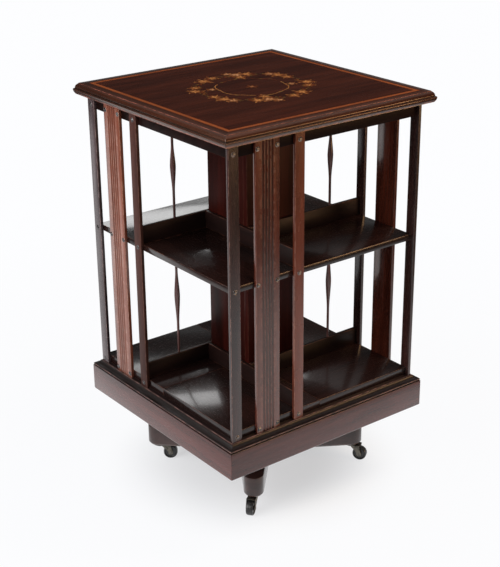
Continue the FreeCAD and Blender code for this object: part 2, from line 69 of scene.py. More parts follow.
SLAB_UNDER, TOP = levels("top_slab")
SUB_UNDER = levels("sub_top")[0]
SHELF_UNDER, SHELF_TOP = levels("middle_shelf")
BOARD_UNDER, BOARD_TOP = levels("bottom_board")
MOULD_UNDER = levels("plinth_moulding")[0]
SKIRT_UNDER = levels("plinth_skirt_1")[0]
BAR_UNDER, BAR_TOP = levels("cross_bar_lower")
HUB_TOP = levels("base_hub")[1]
CASE_HALF = -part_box("corner_slat_1")[0].x / MM
BOARD_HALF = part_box("bottom_board")[1].x / MM
SKIRT_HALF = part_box("plinth_skirt_1")[1].x / MM
STRING_WIDTH = 9.0
STRING_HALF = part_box("top_stringing")[1].x / MM - STRING_WIDTH / 2
STRING_IN, STRING_OUT = STRING_HALF - STRING_WIDTH / 2, STRING_HALF + STRING_WIDTH / 2
STRING_BED = TOP - 1.0
FIELD = TOP - 0.25  # level of the flat top, which leaves room for veneers
CORE_HALF, CORE_THICK = 63.5, 12
FENCE_THICK, FENCE_HEIGHT = 8, 36
BOARD_JOINT = 0.1  # between the four lengths of a shelf
POST_HOLE = 10.3  # radius in wood, round the turning post
# Kind, start and width of the slats of a face, from its left end
SLATS = (("corner", 0.0, 22.5), ("fluted", 58.5, 54.0), ("narrow", 148.5, 22.0))
SLAT_ARRIS = 0.9
FLUTES, FLUTE_PITCH, FLUTE_RADIUS = 4, 7, 2.9
FLUTE_RISE = 0.9  # middle of a flute's arc in front of the face
SCREWS_ACROSS = (11.25, 63.5, 107.5, 159.5)
SCREW_DROP = 19  # under the moulded top
# Radius, half width and floor of the slot in a screw's head
SLOT_REACH, SLOT_HALF, SLOT_FLOOR = 3.4, 0.45, 0.75
SKIRT_THICK = 18
LEDGE_HALF, LEDGE_INNER = 232.0, 182.0  # outer and inner edge of the plinth's ledge
BAR_TURN = math.radians(51.5)
BAR_REACH, BAR_TIP, BAR_ROOT = 208, 20.0, 40  # middle and radius of the end, half waist
HUB_RADIUS = 60.0
CASTOR_TRAIL, WHEEL_RADIUS = 22, 15
YOKE_HALF = 9.6  # over a castor's two cheeks
RING_RADIUS = 69  # of the thin line inside the wreath
CORNER_STEPS = 3  # faces of a rounded corner in plan


# --- Material helpers

def srgb(red, green, blue):
    """A display colour, 0 to 255, as linear RGBA."""
    out = []
    for part in (red, green, blue):
        c = part / 255
        out.append(c / 12.92 if c <= 0.04045 else ((c + 0.055) / 1.055) ** 2.4)
    return (*out, 1.0)


class Tree:
    """Nodes of a material or a world, with short ways to add and join them."""

    def __init__(self, name, world=False):
        self.owner = (bpy.data.worlds if world else bpy.data.materials).new(name)
        self.owner.use_nodes = True
        self.nodes = self.owner.node_tree.nodes
        self.links = self.owner.node_tree.links
        self.nodes.clear()
        self.output = self.add("ShaderNodeOutput" + ("World" if world else "Material"))

    def add(self, kind, settings=None, **inputs):
        made = self.nodes.new(kind)
        for key, val in (settings or {}).items():
            setattr(made, key, val)
        for key, val in inputs.items():
            self.feed(made, key.replace("_", " "), val)
        return made

    def feed(self, made, name, val):
        socket = made.inputs[int(name)] if name.isdigit() else made.inputs[name]
        if isinstance(val, bpy.types.NodeSocket):
            self.links.new(val, socket)
        else:
            socket.default_value = val

    def finish(self, shader):
        self.links.new(shader.outputs[0], self.output.inputs["Surface"])
        return self.owner

    def math(self, operation, first, second=0.5, clamp=False):
        made = self.add("ShaderNodeMath", {"operation": operation, "use_clamp": clamp})
        self.feed(made, "0", first)
        self.feed(made, "1", second)
        return made.outputs[0]

    def plus(self, first, second, clamp=False):
        return self.math("ADD", first, second, clamp)

    def times(self, first, second, clamp=False):
        return self.math("MULTIPLY", first, second, clamp)

    def vector(self, operation, first, second=None):
        made = self.add("ShaderNodeVectorMath", {"operation": operation})
        self.feed(made, "0", first)
        if second is not None:
            self.feed(made, "1", second)
        return made.outputs["Value" if operation in ("LENGTH", "DISTANCE") else "Vector"]

    def mix(self, factor, first, second):
        made = self.add("ShaderNodeMix", {"data_type": "RGBA"})
        for name, val in (("0", factor), ("6", first), ("7", second)):
            self.feed(made, name, val)
        return made.outputs[2]

    def spread(self, value, low, high, to_low=0.0, to_high=1.0):
        """A smooth step from one level to another."""
        made = self.add("ShaderNodeMapRange", {"interpolation_type": "SMOOTHSTEP"})
        for name, val in (("Value", value), ("From Min", low), ("From Max", high),
                          ("To Min", to_low), ("To Max", to_high)):
            self.feed(made, name, val)
        return made.outputs[0]

    def noise(self, vector, stretch, detail=3.0, rough=0.5, distort=0.0):
        """Noise in a space stretched by three factors, in cycles a metre."""
        made = self.add("ShaderNodeTexNoise", Vector=self.vector("MULTIPLY", vector, stretch),
                        Scale=1.0, Detail=detail, Roughness=rough, Distortion=distort)
        return made.outputs["Fac"]

    def mark(self, name):
        """What a mesh says of each point: its wear mark, or its painted shade mark."""
        return self.add("ShaderNodeAttribute", {"attribute_name": name}).outputs["Fac"]

    def bump(self, height, distance, strength=1.0, under=None):
        made = self.add("ShaderNodeBump", Height=height, Distance=distance, Strength=strength)
        if under is not None:
            self.feed(made, "Normal", under)
        return made.outputs["Normal"]

    def place(self):
        return self.add("ShaderNodeTexCoord").outputs["Object"]

    def grain(self, way="x"):
        """Object space turned so that X runs along the grain, moved for each piece."""
        turn = {"x": (0, 0, 0), "y": (0, 0, -math.pi / 2), "z": (0, math.pi / 2, 0)}[way]
        turned = self.add("ShaderNodeMapping", Vector=self.place(), Rotation=turn).outputs[0]
        chance = self.add("ShaderNodeObjectInfo").outputs["Random"]
        shift = self.add("ShaderNodeVectorMath", {"operation": "SCALE"}, Vector=(3.1, 5.7, 4.3),
                         Scale=chance)
        return self.vector("ADD", turned, shift.outputs[0])

    def surface(self, constants, **inputs):
        """The Principled shader. Constants go straight on its sockets."""
        shader = self.add("ShaderNodeBsdfPrincipled")
        for key, val in constants.items():
            shader.inputs[key].default_value = val
        for key, val in inputs.items():
            self.feed(shader, key.replace("_", " "), val)
        return self.finish(shader)


def wood(name, dark, light, edge, way, rough, coat, tint=(1, 1, 1, 1), figure=1.0,
         pores=0.5, shine=0.5, wavy=0.00025):
    """Polished wood: figure, fibres, open pores, lighter arrises that are partly wear and partly
    painted highlight, and painted shade in hollows.
    """
    t = Tree(name)
    space = t.grain(way)
    broad = t.noise(space, (1.6, 16, 16), 4, 0.55, 0.9)
    ribbon = t.noise(space, (5, 75, 75), 4, 0.6, 0.3)
    fibre = t.noise(space, (16, 620, 620), 3, 0.6)
    pore = t.spread(t.noise(space, (85, 1700, 1700), 2, 0.5), 0.60, 0.70)
    share = t.plus(t.times(broad, 0.55 * figure),
                   t.plus(t.times(ribbon, 0.35), t.times(fibre, 0.25)))
    colour = t.mix(t.spread(share, 0.36, 0.80), dark, light)
    colour = t.mix(t.times(pore, pores), colour, (0.004, 0.0015, 0.001, 1))
    patch = t.spread(t.noise(space, (55, 55, 55), 4, 0.65), 0.42, 0.62)
    # Arrises lightened by the wear mark: partly wear, partly painted highlight.
    wear_and_highlight = t.times(t.math("POWER", t.mark("wear"), 1.6), t.plus(patch, 0.25), True)
    colour = t.mix(wear_and_highlight, colour, edge)
    # Painted shade: near-black in flutes, coves, quirks and creases, from the shade mark.
    hollow = t.times(t.mark("hollow"), t.plus(patch, 0.55), True)
    colour = t.mix(hollow, colour, (0.006, 0.003, 0.002, 1))
    smear = t.noise(space, (14, 22, 22), 3, 0.6)
    roughness = t.plus(t.times(smear, 0.16), rough - 0.08)
    roughness = t.plus(roughness, t.times(pore, 0.1))
    roughness = t.plus(roughness, t.times(wear_and_highlight, 0.12), True)
    roughness = t.plus(roughness, t.times(hollow, 0.25), True)
    normal = t.bump(t.noise(t.place(), (26, 26, 26), 2, 0.4), wavy)
    grainy = t.math("SUBTRACT", t.times(fibre, 0.5), pore)
    normal = t.bump(grainy, 0.00004, 1.2 * pores, normal)
    return t.surface({"Coat Weight": coat, "Coat Roughness": 0.09, "Specular Tint": tint,
                      "Specular IOR Level": shine},
                     Base_Color=colour, Roughness=roughness, Normal=normal)


def metal(name, colour, bright, rough, metallic=1.0, patina=None):
    """Metal with handling marks: dull patches, brighter rubbed edges, fine pitting."""
    t = Tree(name)
    space = t.grain()
    cloud = t.spread(t.noise(space, (140, 140, 140), 5, 0.65), 0.35, 0.68)
    pit = t.noise(space, (1500, 1500, 1500), 3, 0.6)
    scratch = t.noise(space, (60, 2400, 900), 2, 0.5)
    base = t.mix(cloud, colour, patina or tuple(0.55 * c for c in colour[:3]) + (1,))
    base = t.mix(t.times(t.mark("wear"), t.plus(cloud, 0.4), True), base, bright)
    roughness = t.plus(t.times(cloud, 0.22), rough - 0.1)
    roughness = t.plus(roughness, t.times(scratch, 0.12), True)
    return t.surface({"Metallic": metallic}, Base_Color=base, Roughness=roughness,
                     Normal=t.bump(t.plus(pit, scratch), 0.00005, 0.7))


def enamel(name, colour, worn_colour, rough):
    """Hard black composition of the wheels, with a scuffed tread."""
    t = Tree(name)
    space = t.grain()
    cloud = t.noise(space, (160, 160, 160), 5, 0.65)
    scuff = t.spread(t.noise(space, (900, 900, 260), 3, 0.6), 0.52, 0.72)
    share = t.times(scuff, t.plus(t.times(t.mark("wear"), 0.6), 0.15))
    base = t.mix(share, t.mix(cloud, colour, tuple(1.8 * c for c in colour[:3]) + (1,)),
                 worn_colour)
    roughness = t.plus(t.times(cloud, 0.2), t.plus(t.times(share, 0.4), rough - 0.1), True)
    return t.surface({"Coat Weight": 0.15, "Coat Roughness": 0.25}, Base_Color=base,
                     Roughness=roughness, Normal=t.bump(scuff, 0.00006, 0.6))


def inlay(t, colour, fibre, fine, coat, shine):
    """Polished veneer of one colour, let into the top."""
    return t.surface({"Coat Weight": coat, "Coat Roughness": 0.1, "Specular IOR Level": shine},
                     Base_Color=colour, Roughness=t.plus(t.times(fibre[0], fibre[1]), 0.24),
                     Normal=t.bump(fine, 0.00003, 0.5))


def banding(name):
    """Inlaid line: a light middle between two orange edges, cut in short lengths."""
    t = Tree(name)
    split = t.add("ShaderNodeSeparateXYZ", Vector=t.place())
    x, y = (t.math("ABSOLUTE", split.outputs[k]) for k in (0, 1))
    across, along = t.math("MAXIMUM", x, y), t.math("MINIMUM", x, y)
    off = t.math("ABSOLUTE", t.math("SUBTRACT", across, STRING_HALF * MM))
    space = t.grain()
    fibre = t.noise(space, (90, 90, 90), 4, 0.65)
    joint = t.math("FLOOR", t.times(along, 17.0))
    length = t.add("ShaderNodeTexWhiteNoise", {"noise_dimensions": "1D"}, W=joint).outputs[0]
    tone = t.plus(t.times(fibre, 0.7), t.times(length, 0.3))
    middle = t.mix(tone, srgb(126, 66, 30), srgb(172, 98, 52))
    rim = t.mix(tone, srgb(110, 46, 10), srgb(142, 64, 16))
    colour = t.mix(t.spread(off, 0.0014, 0.0026), middle, rim)
    return inlay(t, colour, (fibre, 0.15), t.noise(space, (700, 700, 700), 3, 0.6), 0.4, 0.3)


def veneer(name, pale, deep, rim):
    """Sand-shaded veneer of the wreath: pale middle, scorched towards its edge."""
    t = Tree(name)
    space = t.grain()
    fibre = t.noise(space, (120, 620, 620), 3, 0.6, 0.4)
    shade = t.noise(space, (110, 110, 110), 3, 0.6)
    colour = t.mix(t.spread(shade, 0.32, 0.7), pale, deep)
    colour = t.mix(t.times(fibre, 0.35), colour, deep)
    colour = t.mix(t.math("POWER", t.mark("wear"), 1.3), colour, rim)
    return inlay(t, colour, (fibre, 0.16), fibre, 0.1, 0.15)


# Colour of lightened arrises: partly wear, partly painted highlight.
EDGE_WEAR_AND_HIGHLIGHT = (104, 66, 52)
SUNNY = {"tint": (1.0, 0.78, 0.68, 1), "figure": 1.1}
# Key, ways of the grain, name, dark, light, edge colour (partly wear, partly painted highlight),
# roughness, coat, other settings
TIMBERS = (
    ("case", "xyz", "mahogany_case", (22, 14, 13), (44, 26, 23), EDGE_WEAR_AND_HIGHLIGHT, 0.22, 0.25,
     {"pores": 0.2, "shine": 0.45}),
    ("black", "xyz", "stained_base", (38, 24, 22), (76, 50, 46), (100, 74, 66), 0.36, 0.3,
     {"pores": 0.3}),
    ("rail", "xy", "mahogany_rail", (22, 14, 13), (44, 26, 23), EDGE_WEAR_AND_HIGHLIGHT, 0.42, 0.0,
     {"shine": 0.15}),
    ("skirt", "xy", "mahogany_skirt", (44, 22, 20), (100, 53, 48), (150, 100, 86), 0.24, 0.5,
     {"pores": 0.35}),
    ("rim", "xy", "mahogany_rim", (36, 17, 11), (78, 40, 26), (140, 78, 64), 0.24, 0.5,
     {"tint": (1.0, 0.66, 0.46, 1)}),
    ("cornice", "xy", "mahogany_cornice", (20, 14, 14), (40, 27, 26), (136, 102, 94), 0.34, 0.1,
     {"shine": 0.3}),
    # Darker than the case's wood: painted shade under the moulded top.
    ("frieze", "x", "mahogany_frieze", (18, 10, 9), (40, 22, 20), EDGE_WEAR_AND_HIGHLIGHT, 0.42, 0.0,
     {"shine": 0.05}),
    ("core", "z", "mahogany_core", (28, 9, 7), (66, 22, 17), EDGE_WEAR_AND_HIGHLIGHT, 0.36, 0.0, {"shine": 0.05}),
    ("warm", "z", "mahogany_slat_warm", (50, 20, 13), (122, 60, 43), (160, 108, 88), 0.26, 0.5,
     SUNNY),
    # Lighter, greyer copy of the post for face 3: painted light and painted reflection of the
    # floor.
    ("grey", "z", "mahogany_post_faded", (46, 35, 37), (98, 80, 82), (150, 126, 122), 0.26, 0.5,
     {}),
    ("slat", "z", "mahogany_slat", (38, 14, 8), (102, 46, 32), (146, 94, 76), 0.24, 1.0, SUNNY),
    # Lighter copy of the slat for face 3: painted light.
    ("pale", "z", "mahogany_slat_pale", (66, 29, 19), (142, 78, 58), (186, 140, 120), 0.24, 0.9,
     SUNNY),
    ("spindle", "z", "mahogany_spindle", (64, 38, 35), (132, 90, 86), (150, 110, 104), 0.3, 0.4,
     {}),
    ("post", "z", "mahogany_post", (28, 16, 15), (70, 42, 38), (140, 104, 92), 0.26, 0.5, {}),
    # Lighter matt copy of the post for face 3: painted light.
    ("dull", "z", "mahogany_post_dull", (40, 22, 19), (86, 52, 45), (130, 92, 80), 0.42, 0.0,
     {"shine": 0.15}),
    ("top", "x", "mahogany_top", (44, 19, 13), (86, 42, 29), EDGE_WEAR_AND_HIGHLIGHT, 0.22, 0.0,
     {"figure": 0.8, "pores": 0.3, "shine": 0.13, "wavy": 0.00008}),
)
WOODS = {}
for key, ways, name, dark, light, edge, rough, coat, other in TIMBERS:
    for way in ways:
        WOODS[key + "_" + way] = wood(name + ("_" + way if len(ways) > 1 else ""), srgb(*dark),
                                      srgb(*light), srgb(*edge), way, rough, coat, **other)
BANDING = banding("satinwood_banding")
# Pale, deep and scorched tones of the wreath's woods
TONES = {
    "gold": ((216, 154, 92), (160, 100, 51), (80, 41, 17)),
    "amber": ((118, 59, 22), (88, 43, 16), (52, 25, 10)),
    "cream": ((226, 172, 124), (172, 118, 76), (100, 58, 34)),
    "green": ((122, 96, 44), (84, 62, 28), (52, 34, 14)),
    "umber": ((140, 66, 18), (96, 42, 10), (52, 22, 6)),
}
VENEERS = {key: veneer("veneer_" + key, *(srgb(*tone) for tone in tones))
           for key, tones in TONES.items()}
IRON = metal("iron_black", (0.03, 0.03, 0.032, 1), (0.16, 0.155, 0.15, 1), 0.45, 0.85)
SCREW = metal("screw_steel", (0.03, 0.026, 0.025, 1), (0.32, 0.3, 0.3, 1), 0.34)
BRASS = metal("castor_bronze", (0.026, 0.024, 0.021, 1), (0.17, 0.155, 0.13, 1), 0.42,
              patina=(0.0095, 0.0095, 0.009, 1))
BUSH = metal("bush_bronze", (0.5, 0.34, 0.15, 1), (0.75, 0.58, 0.32, 1), 0.34)
WHEEL = enamel("wheel_black", (0.010, 0.010, 0.0105, 1), (0.09, 0.085, 0.08, 1), 0.42)


# --- Mesh helpers

def put(name, data):
    """A new object in the scene."""
    thing = bpy.data.objects.new(name, data)
    bpy.context.scene.collection.objects.link(thing)
    return thing


def mesh_of(name, points, faces):
    mesh = bpy.data.meshes.new(name)
    mesh.from_pydata(points, [], faces)
    return mesh


def piece(name, points, faces, materials, body, slot, nodes=(), **looks):
    """A named piece from points in mm, which rides on a body and replaces CAD nodes."""
    mesh = mesh_of(name, [(x * MM, y * MM, z * MM) for x, y, z in points], faces)
    return dress(name, mesh, materials, body, slot, nodes, **looks)


def dress(name, mesh, materials, body, slot, nodes=(), picks=None, wear=None, smooth=38,
          turn=0.0, hollow=None):
    """A mesh in metres as a named piece, with its looks, parented to its body's empty; the CAD
    nodes it stands for are hidden.
    """
    for mat in materials if isinstance(materials, (list, tuple)) else [materials]:
        mesh.materials.append(mat)
    if picks:
        mesh.polygons.foreach_set("material_index", picks)
    for key, values in (("wear", wear), ("hollow", hollow)):
        if values:
            mesh.attributes.new(key, "FLOAT", "POINT").data.foreach_set("value", values)
    bm = bmesh.new()
    bm.from_mesh(mesh)
    bmesh.ops.recalc_face_normals(bm, faces=bm.faces)
    if turn:
        bmesh.ops.rotate(bm, verts=bm.verts, cent=(0, 0, 0), matrix=Matrix.Rotation(turn, 3, "Z"))
    bm.to_mesh(mesh)
    bm.free()
    mesh.shade_smooth()
    mesh.set_sharp_from_angle(angle=math.radians(smooth))
    thing = put(name, mesh)
    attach(thing, body)
    if nodes:
        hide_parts(*nodes)
    return thing


def skin(loops, closed=False):
    """Faces over a stack of loops with as many points each, with ends if it isn't closed."""
    count = len(loops[0])
    points = [p for loop in loops for p in loop]
    faces = []
    for row in range(len(loops) if closed else len(loops) - 1):
        low, high = row * count, (row + 1) % len(loops) * count
        for k in range(count):
            m = (k + 1) % count
            faces.append((low + k, low + m, high + m, high + k))
    if not closed:
        faces.append(tuple(range(count - 1, -1, -1)))
        faces.append(tuple(range(len(points) - count, len(points))))
    return points, faces


def polar(radius, angle):
    return radius * math.cos(angle), radius * math.sin(angle)


def square_loop(half, z, radius):
    """A square round the axis with rounded corners, anticlockwise from the -X -Y one."""
    loop = []
    for corner, (sx, sy) in enumerate(CORNERS):
        for step in range(CORNER_STEPS + 1):
            x, y = polar(radius, math.radians(180 + 90 * corner + 90 * step / CORNER_STEPS))
            loop.append((sx * (half - radius) + x, sy * (half - radius) + y, z))
    return loop


def side_of(k):
    """Which pair of sides a face of a square loop belongs to: 0 for +-Y, 1 for +-X."""
    corner, step = divmod(k, CORNER_STEPS + 1)
    return corner % 2 if step >= CORNER_STEPS / 2 else (corner + 1) % 2


def mitred(name, profile, materials, slot, nodes, closed=False, wear_and_highlight=(), radius=1.2,
           smooth=38, cap_pick=None, deep=()):
    """A square frame or board of the case with one moulded profile.

    The profile is (half width, level) points. Rows in the wear list get a lighter edge,
    partly wear and partly painted highlight; rows in deep get painted shade. cap_pick is
    the material of the two ends of an open profile.
    """
    loops = [square_loop(half, z, min(radius, half * 0.5)) for half, z in profile]
    points, faces = skin(loops, closed)
    count = len(loops[0])
    picks = [side_of(k % count) for k in range(len(faces))]
    if cap_pick is not None:
        picks[-2:] = [cap_pick, cap_pick]
    wear, hollow = [], []
    for row in range(len(profile)):
        wear += [1.0 if row in wear_and_highlight else 0.0] * count
        hollow += [1.0 if row in deep else 0.0] * count
    return piece(name, points, faces, materials, "case", slot, nodes, picks=picks, wear=wear,
                 smooth=smooth, hollow=hollow)


def arc(cx, cz, radius, start, end, steps):
    """Points of an arc, angles in degrees."""
    out = []
    for step in range(steps + 1):
        x, z = polar(radius, math.radians(start + (end - start) * step / steps))
        out.append((cx + x, cz + z))
    return out


def softened(bm, width):
    """Round every edge over 30 degrees and give the middle of each round the lighter edge mark:
    partly wear, partly painted highlight.
    """
    sharp = [e for e in bm.edges if e.calc_face_angle(0) > math.radians(30)]
    made = bmesh.ops.bevel(bm, geom=sharp, offset=width * MM, segments=2,
                           profile=0.5, affect="EDGES", clamp_overlap=True)
    layer = bm.verts.layers.float.new("wear")
    rounds = set(made["faces"])
    for vert in bm.verts:
        if vert.link_faces and all(f in rounds for f in vert.link_faces):
            vert[layer] = 1.0


def block(name, low, high, materials, slot, nodes=(), soft=0.8, face=0):
    """A board of a face of the case, with softened edges, between two corners in mm."""
    bm = bmesh.new()
    bmesh.ops.create_cube(bm, size=1.0)
    size = [(b - a) * MM for a, b in zip(low, high)]
    mid = [(a + b) / 2 * MM for a, b in zip(low, high)]
    bmesh.ops.scale(bm, vec=size, verts=bm.verts)
    bmesh.ops.translate(bm, vec=mid, verts=bm.verts)
    softened(bm, soft)
    mesh = bpy.data.meshes.new(name)
    bm.to_mesh(mesh)
    bm.free()
    return dress(name, mesh, materials, "case", slot, nodes, turn=quarter(face))


def lathe(profile, steps=28):
    """Faces of a turned shape from (radius, height) pairs, axis on Z, ends closed."""
    return skin([[(*polar(radius, 2 * math.pi * k / steps), height) for k in range(steps)]
                 for radius, height in profile])


def moved(shell, matrix):
    """A (points, faces) shell in another place."""
    return [tuple(matrix @ Vector(p)) for p in shell[0]], shell[1]


def joined(parts):
    """Several shells as one."""
    points, faces = [], []
    for some, over in parts:
        start = len(points)
        points += some
        faces += [tuple(start + k for k in face) for face in over]
    return points, faces


# --- Moulded top

def make_top():
    ovolo = arc(236.7, TOP - 10.4, 10.4, 60, 4, 8)
    nosing = arc(235.95, TOP - 12.0, 14.0, -3, -42, 9)
    profile = [(STRING_IN, FIELD), (STRING_IN, STRING_BED), (STRING_OUT, STRING_BED),
               (STRING_OUT, FIELD), (240.9, FIELD), (241.5, FIELD - 0.3), (241.7, TOP - 1.5)]
    profile += ovolo + [(246.8, TOP - 10.4), (246.9, TOP - 11.1), (248.8, TOP - 11.1),
                        (249.5, TOP - 11.7)]
    quirk = len(profile) - 3
    profile += nosing + [(246.4, SLAB_UNDER + 0.2), (245.6, SLAB_UNDER)]
    # The top arris gets the lighter edge mark, partly wear and partly painted highlight; the
    # nosing's lower part gets it as a painted reflection of the floor. The rows round the quirk
    # get painted shade.
    wear_and_highlight = [5, 6] + list(range(len(profile) - 6, len(profile) - 2))
    mitred("top_board", profile, [WOODS["rim_x"], WOODS["rim_y"], WOODS["top_x"]], "mahogany",
           ("top_slab",), wear_and_highlight=wear_and_highlight, radius=1.6, smooth=30, cap_pick=2,
           deep=(quirk - 1, quirk, quirk + 1))


def make_stringing():
    low, high, face = STRING_IN + 0.05, STRING_OUT - 0.05, FIELD + 0.05
    profile = [(low, STRING_BED), (low, face), (high, face), (high, STRING_BED)]
    mitred("top_banding", profile, [BANDING, BANDING], "satinwood", ("top_stringing",),
           closed=True, radius=0.2)


# --- Case

def make_boards():
    b = BOARD_HALF
    # The frieze's dark wood paints the shade under the moulded top.
    block("sub_top_board", (-b, -b, SUB_UNDER), (b, b, SLAB_UNDER), WOODS["frieze_x"],
          "mahogany", ("sub_top",), 0.6)
    for name, node, hole, low, high in (
            ("shelf", "middle_shelf", CORE_HALF - 1, SHELF_UNDER, SHELF_TOP),
            ("bottom", "bottom_board", POST_HOLE, BOARD_UNDER, BOARD_TOP)):
        for k in range(4):
            block("%s_length_%d" % (name, k + 1), (-hole, -b, low),
                  (b, -hole - BOARD_JOINT, high), WOODS["case_" + "xy"[k % 2]], "mahogany",
                  (node,) if k == 0 else (), 1.0, k)


def make_core():
    for k in range(4):
        block("core_panel_%d" % (k + 1), (-CORE_HALF, -CORE_HALF, BOARD_TOP),
              (CORE_HALF - CORE_THICK, -CORE_HALF + CORE_THICK, SUB_UNDER), WOODS["core_z"],
              "mahogany", ("core_board_%d" % (k + 1),), 0.7, k)


def make_fences():
    for tier, low in (("lower", BOARD_TOP), ("upper", SHELF_TOP)):
        for k in range(4):
            block("%s_rail_%d" % (tier, k + 1), (-CORE_HALF, -CORE_HALF - FENCE_THICK, low),
                  (BOARD_HALF, -CORE_HALF, low + FENCE_HEIGHT), WOODS["rail_" + "xy"[k % 2]],
                  "mahogany", ("%s_fence_%d" % (tier, k + 1),), 1.6, k)


def spindle(length):
    """Lozenge on a thin stem, with small collars: (radius, height) from its foot."""
    stem, belly = 0.27 * length, 0.52 * length
    out = [(2.4, 0), (2.7, 0.4), (2.7, 2.6), (2.3, 3.2), (2.3, 4.0), (2.6, 4.8)]
    for start, end, low, high in ((stem, belly, 2.6, 5.8), (belly, length - stem, 5.8, 2.6)):
        for step in range(10):
            share = step / 10
            ease = 0.5 - 0.5 * math.cos(math.pi * share)
            out.append((low + (high - low) * (0.35 * share + 0.65 * ease),
                        start + (end - start) * share))
    out += [(2.6, length - stem), (2.6, length - 4.8), (2.3, length - 4.0),
            (2.3, length - 3.2), (2.7, length - 2.6), (2.7, length - 0.4), (2.4, length)]
    return out


def make_spindles():
    x, y = (CORE_HALF + BOARD_HALF) / 2, -(CORE_HALF + FENCE_THICK / 2)
    for tier, low, high in (("lower", BOARD_TOP + FENCE_HEIGHT, SHELF_UNDER),
                            ("upper", SHELF_TOP + FENCE_HEIGHT, SUB_UNDER)):
        shell = lathe(spindle(high - low), 20)
        stand = Matrix.Translation((x, y, low))
        parts = [moved(shell, Matrix.Rotation(quarter(k), 4, "Z") @ stand) for k in range(4)]
        piece(tier + "_turned_spindles", *joined(parts), WOODS["spindle_z"], "case",
              "mahogany_slats", (tier + "_spindles",), smooth=32)


def slat_section(left, width, fluted):
    """Plan of an upright slat of face 0, anticlockwise, with the marks of its points."""
    front, back, soft = -CASE_HALF, -BOARD_HALF, SLAT_ARRIS
    right = left + width
    out, wear, hollow = [], [], []

    def round_to(cx, cy, start):
        for step, (px, py) in enumerate(arc(cx, cy, soft, start, start + 90, 3)):
            out.append((px, py))
            wear.append(1.0 if step in (1, 2) and cy < front + 2 else 0.0)
            hollow.append(0.0)

    # Front arrises and flute edges get the lighter edge mark, partly wear and partly painted
    # highlight; the middle of each flute gets painted shade.
    round_to(left + soft, front + soft, 180)
    if fluted:
        half = math.degrees(math.acos(FLUTE_RISE / FLUTE_RADIUS))
        for k in range(FLUTES):
            cx = left + width / 2 + (k - (FLUTES - 1) / 2) * FLUTE_PITCH
            flute = arc(cx, front - FLUTE_RISE, FLUTE_RADIUS, 90 + half, 90 - half, 10)
            for step, (px, py) in enumerate(flute):
                out.append((px, py))
                wear.append(0.5 if step in (0, 10) else 0.0)
                hollow.append(0.4 if 3 <= step <= 7 else 0.18 if 0 < step < 10 else 0.0)
    round_to(right - soft, front + soft, 270)
    round_to(right - soft, back - soft, 0)
    round_to(left + soft, back - soft, 90)
    return out, wear, hollow


# The wood of each kind of slat on faces 0 to 3. Face 3, the side the key lamp lights, has
# lighter copies that paint the light falling there; its grey corner post also paints the
# floor's reflection. Face 0's narrow slat has a warmer, lighter copy.
SLAT_WOODS = {"corner": ("post", "post", "post", "grey"),
              "fluted": ("slat", "slat", "slat", "pale"),
              "narrow": ("warm", "post", "post", "dull")}


def make_slats():
    for kind, start, width in SLATS:
        section, wear_and_highlight, hollow = slat_section(-CASE_HALF + start, width, kind == "fluted")
        shell = skin([[(x, y, z) for x, y in section] for z in (BOARD_UNDER, SLAB_UNDER)])
        # On face 3, the side the key lamp lights, the flutes get less painted shade.
        for k, timber in enumerate(SLAT_WOODS[kind]):
            piece("%s_upright_%d" % (kind, k + 1), *shell, WOODS[timber + "_z"],
                  "case", "mahogany_slats", ("%s_slat_%d" % (kind, k + 1),), wear=wear_and_highlight * 2,
                  turn=quarter(k), smooth=34,
                  hollow=[value * (0.4 if k == 3 else 1.0) for value in hollow * 2])


def screw_head():
    """Round slotted head in a thin cup, axis on Z, flat side at z = 0, in mm."""
    bm = bmesh.new()
    rings = [(4.6, 0.0), (4.5, 0.3), (4.15, 0.5), (3.8, 0.42), (3.6, 0.12), (3.45, 0.45),
             (3.1, 0.9), (2.5, 1.25), (1.5, 1.5), (0.6, 1.58)]
    points, faces = lathe(rings, 20)
    verts = [bm.verts.new(p) for p in points]
    for face in faces:
        bm.faces.new([verts[k] for k in face])
    for side in (-SLOT_HALF, SLOT_HALF):
        bmesh.ops.bisect_plane(bm, geom=bm.verts[:] + bm.edges[:] + bm.faces[:],
                               plane_co=(0, side, 0), plane_no=(0, 1, 0), dist=1e-5)
    strip = [f for f in bm.faces
             if abs(f.calc_center_median().y) < SLOT_HALF - 0.01 and f.normal.z > 0.2
             and f.calc_center_median().xy.length < SLOT_REACH]
    cut = bmesh.ops.extrude_face_region(bm, geom=strip)
    sunk = [v for v in cut["geom"] if isinstance(v, bmesh.types.BMVert)]
    for vert in sunk:
        vert.co.z = min(vert.co.z, SLOT_FLOOR)
    bmesh.ops.delete(bm, geom=strip, context="FACES")
    bm.verts.index_update()
    out = ([tuple(v.co) for v in bm.verts], [tuple(v.index for v in f.verts) for f in bm.faces])
    bm.free()
    return out


def make_screws():
    shell = screw_head()
    levels = ((BOARD_UNDER + BOARD_TOP) / 2, (SHELF_UNDER + SHELF_TOP) / 2,
              SLAB_UNDER - SCREW_DROP)
    dice = random.Random(5)
    parts, wear = [], []
    for k in range(4):
        turn = Matrix.Rotation(quarter(k), 4, "Z")
        for place in SCREWS_ACROSS:
            for z in levels:
                spin = Matrix.Rotation(dice.uniform(0, math.pi), 4, "Z")
                stand = Matrix.Translation((-CASE_HALF + place, -CASE_HALF, z))
                face = turn @ stand @ Matrix.Rotation(math.pi / 2, 4, "X") @ spin
                parts.append(moved(shell, face))
                wear += [1.0 if p[2] > 1.2 or math.hypot(p[0], p[1]) > 3.7 else 0.0
                         for p in shell[0]]
    piece("slotted_screws", *joined(parts), SCREW, "case", "screw_steel", ("slat_screws",),
          wear=wear, smooth=30)


